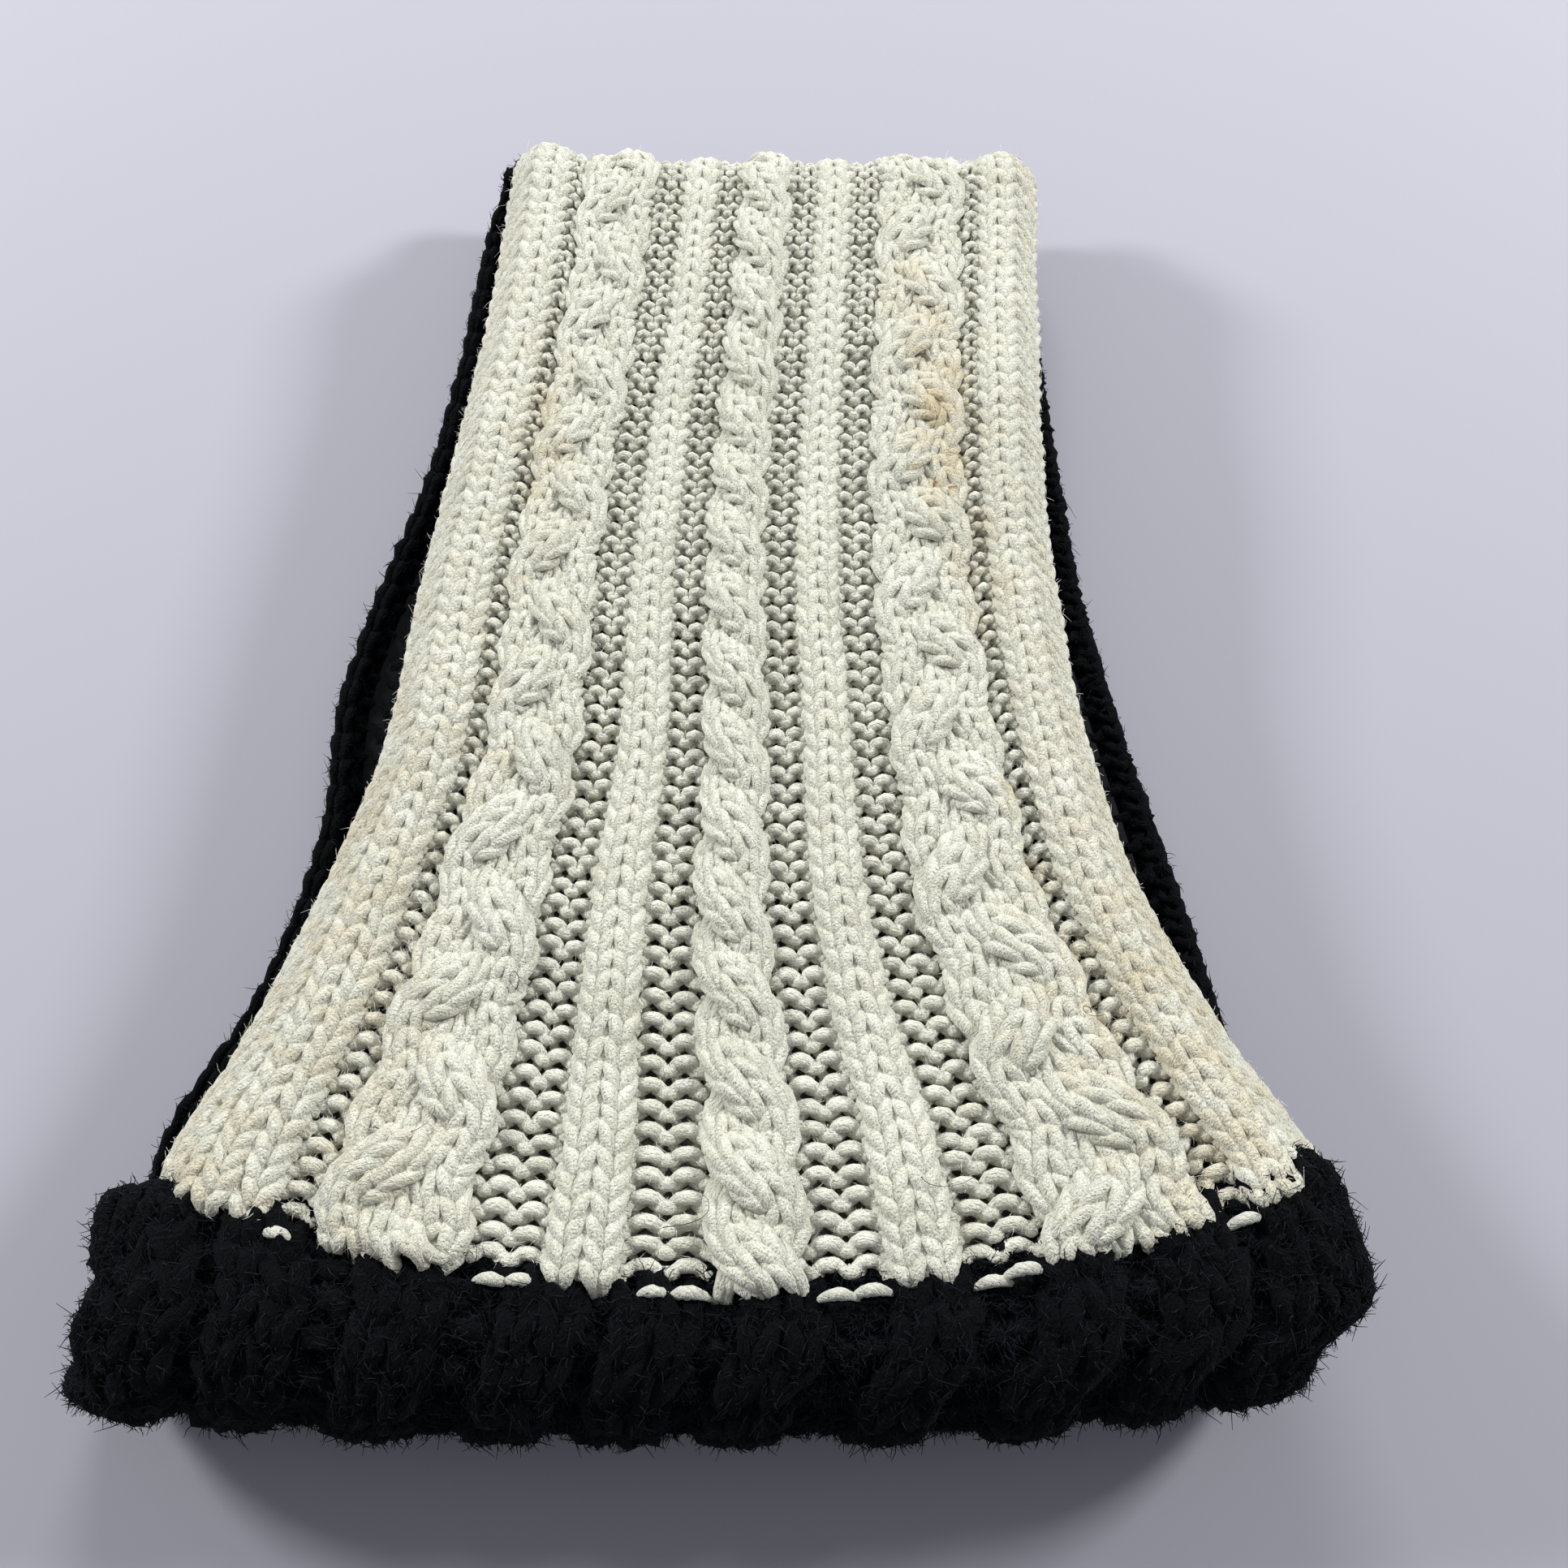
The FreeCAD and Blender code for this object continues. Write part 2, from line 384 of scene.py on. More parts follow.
@dataclass
class TubeSet:
    """Runs of yarn gathered before they become one mesh.

    sides are counted round the yarn; rough is how uneven it is, and flat how much wider than thick, as
    shares.
    """

    sides: int
    rough: float = 0.0
    flat: float = 0.0
    rings: list[tuple[Array, Array, Array]] = field(default_factory=list)

    def add(self, path: Array, out: Array, radius: Array, tone: Array, stain: Array, twist: float) -> None:
        """Adds runs of yarn.

        Args:
            path: centre lines, runs by samples by 3, in millimetres.
            out: the fabric's outward direction at each sample.
            radius: yarn radius at each sample.
            tone: shade of the wool, 0 to 1; on purl yarn it also carries a painted highlight.
            stain: strength of the tan ageing, 0 to 1.
            twist: turns of the fibres, in radians per millimetre.
        """
        ahead = np.gradient(path, axis=1)
        step = np.linalg.norm(ahead, axis=-1, keepdims=True)
        ahead = ahead / np.maximum(step, 1e-9)
        side = np.cross(ahead, out)
        side = side / np.maximum(np.linalg.norm(side, axis=-1, keepdims=True), 1e-6)
        up = np.cross(side, ahead)
        length = np.cumsum(step[..., 0], axis=1)[:, :, None]
        angles = np.arange(self.sides) * (TURN / self.sides)
        cos = np.cos(angles)[None, None, :, None]
        sin = np.sin(angles)[None, None, :, None]
        rng = np.random.default_rng(len(self.rings))
        uneven = 1.0 + self.rough * rng.normal(0.0, 1.0, (*radius.shape, self.sides, 1))
        flat_way = (1.0 + self.flat) * cos * side[:, :, None, :]
        ring = path[:, :, None, :] + radius[:, :, None, None] * uneven * (
            flat_way + (1.0 - self.flat) * sin * up[:, :, None, :]
        )
        ring[..., 2] = np.maximum(ring[..., 2], LOWEST_MM)
        turned = angles[None, None, :] + twist * length
        thick = radius[:, :, None]
        start = np.arange(path.shape[0])[:, None, None] * RUN_SHIFT
        along = np.broadcast_to(length + start, turned.shape)
        lay = np.stack([thick * np.cos(turned), thick * np.sin(turned), along], -1)
        outer = sin[..., 0] * 0.5 + 0.5
        marks = (tone[:, :, None], stain[:, :, None], outer, 1.0)
        dye = np.stack([np.broadcast_to(mark, turned.shape) for mark in marks], -1)
        self.rings.append((ring, lay, dye))

    def mesh(self, name: str) -> Mesh:
        """Returns one closed mesh of every run."""
        quads = []
        caps = []
        base = 0
        for ring, _, _ in self.rings:
            index = base + np.arange(ring[..., 0].size).reshape(ring.shape[:3])
            turned = np.roll(index, -1, axis=2)
            corners = [index[:, :-1], turned[:, :-1], turned[:, 1:], index[:, 1:]]
            quads.append(np.stack(corners, -1).reshape(-1, 4))
            caps += [index[:, 0, ::-1], index[:, -1, :]]
            base += index.size
        parts = [np.concatenate([p.reshape(-1, p.shape[-1]) for p in part]) for part in zip(*self.rings)]
        marks = {"lay": parts[1], "dye": parts[2]}
        return solid_mesh(name, parts[0] * MM, np.concatenate(quads), np.concatenate(caps), marks)


def solid_mesh(name: str, verts: Array, quads: Array, caps: Array, marks: dict[str, Array]) -> Mesh:
    """Makes a mesh from arrays.

    Args:
        name: the mesh's name.
        verts: points, in metres.
        quads: four corners a face.
        caps: corners of the end faces, all with the same number.
        marks: point attributes, of three or four numbers each.

    Returns:
        The smooth-shaded mesh.
    """
    mesh = bpy.data.meshes.new(name)
    corners = np.concatenate([quads.ravel(), caps.ravel()]).astype(np.int32)
    sizes = np.concatenate([np.full(len(quads), 4), np.full(len(caps), caps.shape[1])]).astype(np.int32)
    starts = np.concatenate([[0], np.cumsum(sizes)[:-1]]).astype(np.int32)
    mesh.vertices.add(len(verts))
    mesh.vertices.foreach_set("co", verts.astype(np.float32).ravel())
    mesh.loops.add(len(corners))
    mesh.loops.foreach_set("vertex_index", corners)
    mesh.polygons.add(len(sizes))
    mesh.polygons.foreach_set("loop_start", starts)
    mesh.polygons.foreach_set("use_smooth", np.ones(len(sizes), bool))
    for key, values in marks.items():
        kind, part = ("FLOAT_VECTOR", "vector") if values.shape[1] == 3 else ("FLOAT_COLOR", "color")
        mesh.attributes.new(key, kind, "POINT").data.foreach_set(part, values.astype(np.float32).ravel())
    mesh.update()
    mesh.validate()
    return mesh


@dataclass(frozen=True)
class Fabric:
    """What a strand is knitted into.

    place turns (wale, row, height) into points and outward directions, and ageing gives how yellowed the wool
    is at points.
    """

    yarn: Yarn
    place: Place
    ageing: Track


# A row's height in wales, which squares a slanting strand to its line.
WALE_TO_ROW = 1.2
# The soft runs that close the creases: how high they lie and how fat they are, in yarn radii.
FILL_LIFT = 0.30
FILL_SHARE = 0.8
# How much a stitch differs from the next, and what a slow drift adds: in rows, wales, millimetres and shade.
LOOSE_REACH = 0.04
LOOSE_ROW = 0.05
DRIFT_ROW = 0.16
LOOSE_WALE = 0.035
DRIFT_WALE = 0.07
LOOSE_LIFT = 0.16
LOOSE_TONE = 0.22
DRIFT_TONE = 0.15
# Past the end of a purl band the yarn dives under the next rib: (millimetres, from, to), from and to in
# wales.
LOOP_DIVE = ((1.7, -0.25, 0.35), (1.6, 0.5, 1.2))
CREST_DIVE = ((2.4, -0.10, 0.5), (2.6, 0.4, 1.0))
# Painted highlight: all purl yarn, crests and loops alike, is made this much paler, so the purl gutters look as
# brightly lit as the ribs.
PURL_PAINTED_HIGHLIGHT = 0.25
CREST_SHARE = 1.12
DOME_POWER = 2.6


@dataclass
class Strand:
    """A group of wales that travels together: a rib, a purl gutter, or one strand of a cable.

    centre is its middle wale, lift its height in millimetres and width how wide its wales are, each at a row.
    crown is how far its sides fall away, in millimetres, tails how far its rows run on past them, in wales,
    and calm how much of the slow drift it takes.
    """

    wales: int
    face: Face
    centre: Track
    lift: Track
    width: Track
    crown: float = 1.0
    tails: float = 0.30
    calm: float = 1.0

    def knit(self, fabric: Fabric, rows: Array, tubes: TubeSet, seed: int) -> None:
        """Knits the strand's rows into the tube set.

        Args:
            fabric: what it is knitted into.
            rows: the rows to knit.
            tubes: takes the runs.
            seed: picks the unevenness.
        """
        yarn = fabric.yarn
        place = fabric.place
        purl = self.face is Face.PURL
        end = self.tails * TURN
        count = int(round(yarn.samples * (self.wales + 2 * self.tails))) + 1
        tau = np.linspace(-end, TURN * self.wales + end, count)[None, :]
        cell = np.clip(np.floor(tau[0] / TURN), 0, self.wales - 1).astype(int)
        loose = np.random.default_rng(seed).normal(0.0, 1.0, (4, len(rows), self.wales))[:, :, cell]
        rows = rows[:, None]
        ease = np.sin(tau / 2.0) ** 2
        lean = yarn.lean + yarn.far_lean * smooth(rows, 10.0, 50.0) * (not purl)
        across = tau / TURN + lean * np.sin(2 * tau)
        reach = yarn.purl_reach if purl else yarn.reach
        s = rows + -reach * np.cos(tau) * (1.0 + LOOSE_REACH * loose[0] * ease) + LOOSE_ROW * loose[1] * ease
        s = s + DRIFT_ROW * self.calm * wander(seed + 1, across, rows + 0 * across, 3.0)
        width = self.width(s)
        drift = DRIFT_WALE * wander(seed + 2, across * 0.3, rows * 0.6, 1.0)
        aside = (across - self.wales / 2) * width
        aside = aside + width * self.calm * (LOOSE_WALE * loose[2] * ease + drift)
        c, s_at = self.slanted(s, aside)
        q = np.abs((across - self.wales / 2) / (self.wales / 2))
        past = (q - 1.0) * self.wales / 2
        through = self.face.value * (-yarn.depth * np.cos(2 * tau) + yarn.tilt * np.cos(tau))
        if purl:
            dome = np.zeros_like(q)
            for depth, low, high in LOOP_DIVE:
                through = through - depth * smooth(past, low, high)
        else:
            dome = -self.crown * np.clip(q, 0.0, 1.3) ** DOME_POWER
        h = self.lift(s) + dome + through + LOOSE_LIFT * loose[3] * ease
        path, out = place(c, s_at, h)
        span = np.linalg.norm(place(c + 0.5 * width, s_at, h)[0] - place(c - 0.5 * width, s_at, h)[0], axis=-1)
        fat = np.clip(0.16 * span + 0.36 * yarn.radius, 0.66 * yarn.radius, 1.1 * yarn.radius)
        fat = fat * (1.0 - yarn.swell * self.face.value * np.cos(2 * tau))
        fat = fat * (1.0 + LOOSE_ROW * loose[1] * ease)
        tone = 0.5 + LOOSE_TONE * loose[2] * ease + DRIFT_TONE * wander(seed + 3, c, s, 4.0)
        tone = np.clip(tone, 0.0, 1.0)
        # Purl yarn gets a painted highlight: its tone is raised.
        if purl:
            tone = np.clip(tone + PURL_PAINTED_HIGHLIGHT, 0.0, 1.0)
            fat = fat * yarn.purl_share * (1.0 - 0.5 * smooth(past, 0.35, 1.1))
            rise = 0.5 - yarn.wave * np.cos(tau) + 0.03 * loose[0] * ease
            crest = tau / TURN - 0.05 * np.sin(tau) + 0.03 * np.sin(2 * tau)
            c, s_at = self.slanted(rows + rise + 0 * tau, (crest - self.wales / 2) * width)
            h = self.lift(s_at) + 0.8 * yarn.depth
            for depth, low, high in CREST_DIVE:
                h = h - depth * smooth(past, low, high)
            crest_path, crest_out = place(c, s_at, h + 0.12 * loose[3] * ease)
            tubes.add(crest_path, crest_out, fat * CREST_SHARE, tone, fabric.ageing(crest_path), yarn.twist)
            # The first row hangs from the colour change, so it has crests but no loops below them.
            lowest = int(rows.min() == 0.0)
            path, out, fat, tone = path[lowest:], out[lowest:], fat[lowest:], tone[lowest:]
        tubes.add(path, out, fat, tone, fabric.ageing(path), yarn.twist)

    def fill(self, fabric: Fabric, rows: Array, tubes: TubeSet) -> None:
        """Adds soft runs along the wales that close the creases between the legs, as the felted wool does.

        Args:
            fabric: what they are laid into.
            rows: the rows that the runs pass.
            tubes: takes the runs.
        """
        yarn = fabric.yarn
        s = np.arange(rows.min() - 0.3, rows.max() + 0.4, 0.5)[None, :]
        across = np.arange(0.5, self.wales, 0.5)[:, None]
        q = (across - self.wales / 2) / (self.wales / 2)
        c, s_at = self.slanted(s + 0 * across, (across - self.wales / 2) * self.width(s))
        h = self.lift(s) - self.crown * np.abs(q) ** DOME_POWER + FILL_LIFT * yarn.radius
        path, out = fabric.place(c, s_at, h)
        radius = np.full(path.shape[:2], FILL_SHARE * yarn.radius)
        tone = np.clip(0.5 + 0.2 * wander(77, c, s_at, 1.2), 0.0, 1.0)
        tubes.add(path, out, radius, tone, fabric.ageing(path), yarn.twist)

    def slanted(self, s: Array, aside: Array) -> tuple[Array, Array]:
        """Turns places beside the strand's middle line into wales and rows, square to that line.

        Args:
            s: rows along the strand.
            aside: distance to its right, in wales.

        Returns:
            The wales and the rows.
        """
        slope = (self.centre(s + 0.05) - self.centre(s - 0.05)) / 0.1
        angle = np.arctan(WALE_TO_ROW * slope)
        return self.centre(s) + aside * np.cos(angle), s - WALE_TO_ROW * aside * np.sin(angle)


# ---------------------------------------------------------------- finishes


def linear(code: str) -> tuple[float, float, float, float]:
    """Returns an sRGB hex colour as linear red, green, blue and alpha."""
    parts = [int(code[i : i + 2], 16) / 255 for i in (1, 3, 5)]
    values = [p / 12.92 if p <= 0.04045 else ((p + 0.055) / 1.055) ** 2.4 for p in parts]
    return (values[0], values[1], values[2], 1.0)


def add_node(tree: NodeTree, kind: str, settings: dict | None = None, **links: object) -> Node:
    """Adds a node with its settings and links.

    Args:
        tree: the material's node tree.
        kind: the node's type, without its ShaderNode.
        settings: node properties, and input values under their socket names or numbers.
        links: sockets to link, by name with underscores for spaces, or by number after an underscore; each is
            given an output socket, or a node for its first output.

    Returns:
        The node.
    """
    node = tree.nodes.new("ShaderNode" + kind)
    for key, value in (settings or {}).items():
        if isinstance(key, str) and hasattr(node, key):
            setattr(node, key, value)
        else:
            node.inputs[key].default_value = value
    for key, source in links.items():
        output = source.outputs[0] if isinstance(source, Node) else source
        tree.links.new(output, node.inputs[int(key[1:]) if key[1:].isdigit() else key.replace("_", " ")])
    return node


# The down between the fibres of a yarn: its grain, and its share of the relief. Real down is finer than 0.1
# mm, too fine to show where the whole gaiter is seen, so it is drawn this coarse.
FLUFF_MM = 0.45
FLUFF_SHARE = 0.8
# The dye's slow clouds, a stitch or so long: their number in a millimetre.
CLOUD_RATE = 0.22


@dataclass(frozen=True)
class WoolFinish:
    """Spun wool yarn: matt, with fibres that lie along the twist in fine streaks, coloured paler on the raised
    fibres and darker between them as painted highlight and shade.

    deep and pale are its shades, tan what it ages to and speck its darkest flecks. streak_mm and fibre_mm are
    how long and wide its streaks are, and bump_mm how deep. shine is the specular level.
    """

    name: str
    deep: str
    pale: str
    tan: str
    speck: str
    streak_mm: float = 3.0
    fibre_mm: float = 0.8
    bump_mm: float = 1.0
    rough: float = 0.9
    sheen: float = 0.0
    sheen_tint: str = "#FFFFFF"
    shine: float = 0.25

    def make(self) -> Material:
        """Returns the node material."""
        material = bpy.data.materials.new(self.name)
        material.use_nodes = True
        tree = material.node_tree
        tree.nodes.clear()
        lay = add_node(tree, "Attribute", {"attribute_name": "lay"}).outputs["Vector"]
        dye = add_node(tree, "Attribute", {"attribute_name": "dye"})
        marks = add_node(tree, "SeparateColor", Color=dye)
        ageing = marks.outputs["Green"]
        grain = (1.0 / self.fibre_mm, 1.0 / self.fibre_mm, 1.0 / self.streak_mm)
        stretch = add_node(tree, "Mapping", {"Scale": grain}, Vector=lay)
        fibre = add_node(tree, "TexNoise", {"Scale": 1.0, "Detail": 4.0, "Roughness": 0.72}, Vector=stretch)
        cloud = add_node(tree, "TexNoise", {"Scale": CLOUD_RATE, "Detail": 2.0, "Roughness": 0.6}, Vector=lay)
        fluff = add_node(tree, "TexNoise", {"Scale": 1.0 / FLUFF_MM, "Detail": 1.0}, Vector=lay)
        relief = add_node(tree, "Math", {"operation": "MULTIPLY_ADD", 1: FLUFF_SHARE}, _0=fluff, _2=fibre)
        # Painted highlight and shade: the bump's relief also sets the colour, paler on raised fibres and greyer
        # where they sink, over the fibres' own streaky tone.
        painted_relief_shade = add_node(tree, "MapRange", {"From Min": 0.66, "From Max": 1.14}, Value=relief)
        tone = add_node(tree, "Math", {"operation": "ADD"}, _0=marks, _1=cloud)
        shade = add_node(tree, "Math", {"operation": "MULTIPLY_ADD", 1: 0.8}, _0=tone, _2=painted_relief_shade)
        ramp = add_node(tree, "MapRange", {"From Min": 0.55, "From Max": 1.75}, Value=shade)
        shades = {"data_type": "RGBA", 6: linear(self.deep), 7: linear(self.pale)}
        dyed = add_node(tree, "Mix", shades, _0=ramp).outputs[2]
        worn = add_node(tree, "Mix", {"data_type": "RGBA", 7: linear(self.tan)}, _0=ageing, _6=dyed).outputs[2]
        fleck = add_node(tree, "MapRange", {"From Min": 0.8, "From Max": 1.0}, Value=ageing)
        worn = add_node(tree, "Mix", {"data_type": "RGBA", 7: linear(self.speck)}, _0=fleck, _6=worn).outputs[2]
        bump = add_node(tree, "Bump", {"Strength": 1.0, "Distance": self.bump_mm * MM}, Height=relief)
        skin = {
            "Roughness": self.rough,
            "Sheen Weight": self.sheen,
            "Sheen Roughness": 0.5,
            "Sheen Tint": linear(self.sheen_tint),
            "Specular IOR Level": self.shine,
            "IOR": 1.54,
        }
        wool = add_node(tree, "BsdfPrincipled", skin, Base_Color=worn, Normal=bump)
        add_node(tree, "OutputMaterial", None, Surface=wool)
        return material


# Off-white wool blend, loosely spun: painted creamy highlights on the raised fibres and painted grey shade in
# fine streaks where the fibres part.
CREAM_WOOL = WoolFinish(
    "cream_spun_wool", "#CECEB9", "#FAFAEA", "#D6C08F", "#745630", streak_mm=3.2, fibre_mm=0.6, sheen=0.5
)
# Loose ends of the cream yarn, as pale as its highlights.
CREAM_FUZZ = WoolFinish(
    "cream_wool_fuzz", "#DEDBCE", "#F3F1E9", "#E2D3B4", "#E2D3B4", fibre_mm=0.7, bump_mm=0.05, sheen=0.3
)
# Thick brushed wool in charcoal: almost black, with hardly any gloss and a faint cold bloom at its edges.
CHARCOAL_WOOL = WoolFinish(
    "charcoal_brushed_wool", "#010203", "#030508", "#030508", "#030508",
    streak_mm=5.0, rough=0.95, sheen=0.04, sheen_tint="#8494A8", shine=0.1,
)  # fmt: skip
# Loose ends of the brushed nap: a cold dark grey, a shade lighter than the yarn they stand out of.
CHARCOAL_NAP = WoolFinish(
    "charcoal_wool_nap", "#030507", "#12181F", "#12181F", "#12181F",
    bump_mm=0.05, sheen=0.05, sheen_tint="#98A8BE", shine=0.15,
)  # fmt: skip
# The unseen inside of the cream knitting, painted a dull grey as painted shade: what the gaps between stitches
# look into, so that they read dark.
CREAM_PAINTED_SHADE = WoolFinish(
    "cream_wool_inside_painted_shade", "#77756A", "#8B897E", "#7F7D72", "#7F7D72", bump_mm=0.3, rough=0.95
)
# The unseen inside of the charcoal knitting, in the charcoal wool's own near-black: what the gaps between its
# stitches look into.
CHARCOAL_SHADE = WoolFinish(
    "charcoal_wool_inside", "#050608", "#0A0B0E", "#0A0B0E", "#0A0B0E", bump_mm=0.3, rough=0.95
)


# ---------------------------------------------------------------- pieces


def put(
    name: str, mesh: Mesh, material: Material, nodes: Sequence[str] = ()
) -> Object:
    """Adds a mesh to the scene as a piece of the gaiter.

    Args:
        name: the piece's name.
        mesh: its mesh.
        material: its finish.
        nodes: the CAD nodes that it stands for.

    Returns:
        The object.
    """
    piece = bpy.data.objects.new(name, mesh)
    bpy.context.scene.collection.objects.link(piece)
    mesh.materials.append(material)
    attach(piece, "root")
    if nodes:
        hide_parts(*nodes)
    LOG.info("%s: %d faces", name, len(mesh.polygons))
    return piece


def even(value: float) -> Track:
    """Returns a track that holds one value."""
    return lambda s: np.full(s.shape, value)


@dataclass
class CableStrand:
    """One strand of a cable: its swaps of place, and the crossings of its neighbours that it leans towards.

    home is where it starts, in wales from the cable's middle, spread half a crossing's length, in rows, and
    lift how far strands part there, in millimetres. A swap is (row, shift in wales, 1 over or -1 under), and
    a lean (row, pull in wales).
    """

    home: float
    spread: float
    lift: float
    swaps: list[tuple[float, float, float]] = field(default_factory=list)
    leans: list[tuple[float, float]] = field(default_factory=list)

    def near(self, s: Array, row: float) -> Array:
        """Returns how close row s is to a crossing, 1 at its middle."""
        return hump(s, row, 0.5 + 0.6 * self.spread)

    def centre(self, s: Array) -> Array:
        """Returns the strand's middle at row s, in wales from the cable's middle."""
        total = np.full(s.shape, self.home)
        for row, shift, _ in self.swaps:
            total = total + shift * smooth(s, row - self.spread, row + self.spread)
        for row, pull in self.leans:
            total = total + pull * self.near(s, row)
        return total

    def height(self, s: Array) -> Array:
        """Returns how high the strand rides at row s, in millimetres."""
        total = np.zeros(s.shape)
        for row, _, side in self.swaps:
            total = total + (side if side > 0 else 0.75 * side) * self.lift * self.near(s, row)
        return total

    def width(self, s: Array) -> Array:
        """Returns the width of its wales at row s: a slanting strand is wider across than a straight one."""
        total = np.full(s.shape, 1.0)
        for row, _, side in self.swaps:
            total = total + (0.16 if side > 0 else 0.06) * self.near(s, row)
        for row, _ in self.leans:
            total = total + 0.08 * self.near(s, row)
        return total


# How far a crossing pulls its own strands to the cable's middle, and its neighbour towards itself, in wales.
CROSS_PULL = -0.18
SIDE_PULL = 0.62


def cable_strands(
    start: Sequence[float], events: Sequence[tuple[float, int, int]], spread: float, lift: float
) -> list[CableStrand]:
    """Works out how the strands of a cable travel.

    Args:
        start: each place's middle, in wales from the cable's middle.
        events: rows of the crossings, each with the places that swap; the first one's strand goes over.
        spread: half the number of rows that a crossing takes.
        lift: how far the strands part at a crossing, in millimetres.

    Returns:
        The strands.
    """
    strands = [CableStrand(home, spread, lift) for home in start]
    at = list(range(len(start)))
    for row, over, under in events:
        middle = (start[over] + start[under]) / 2
        for place, number in enumerate(at):
            crosses = place in (over, under)
            pull = CROSS_PULL * middle if crosses else math.copysign(SIDE_PULL, middle - start[place])
            strands[number].leans.append((row, pull))
        strands[at[over]].swaps.append((row, start[under] - start[over], 1.0))
        strands[at[under]].swaps.append((row, start[over] - start[under], -1.0))
        at[over], at[under] = at[under], at[over]
    return strands


# Where the wool has yellowed: (x, y, half width, half length, strength), in millimetres.
AGED_PATCHES = (
    (50, 68, 7, 24, 0.75), (57, 22, 6, 16, 0.35), (44, 105, 6, 12, 0.30), (-46, 62, 6, 26, 0.35),
    (-56, -5, 6, 20, 0.25), (72, -82, 10, 16, 0.38), (62, -50, 6, 12, 0.34), (-52, -28, 5, 8, 0.42),
)  # fmt: skip
# Small brown specks: (x, y, half width), in millimetres.
AGED_SPECKS = (
    (46, 60, 1.3), (48, 47, 1.9), (47, 42, 1.5), (52, 46, 1.1), (43, 51, 1.0), (60, -34, 1.0), (-48, 20, 1.0),
)  # fmt: skip
MOST_AGED = 0.78


def tan_ageing(path: Array) -> Array:
    """Returns how strongly the wool has yellowed at points: most at the sides and in the patches."""
    x = path[..., 0]
    y = path[..., 1]
    total = 0.08 + 0.30 * smooth(np.abs(x - 4.0 + 0.02 * y), 50.0, 92.0)
    for cx, cy, sx, sy, strength in AGED_PATCHES:
        total = total + strength * np.exp(-(((x - cx) / sx) ** 2) - ((y - cy) / sy) ** 2)
    patchy = np.clip(0.55 + 0.75 * wander(17, x / 4.0, y / 4.0, 1.0), 0.1, 1.5)
    aged = np.clip(total * patchy, 0.0, MOST_AGED)
    for cx, cy, size in AGED_SPECKS:
        aged = np.maximum(aged, 1.1 * np.exp(-((x - cx) ** 2 + (y - cy) ** 2) / size**2))
    return np.clip(aged, 0.0, 1.0)


def no_ageing(path: Array) -> Array:
    """Returns no yellowing anywhere."""
    return np.zeros(path.shape[:-1])


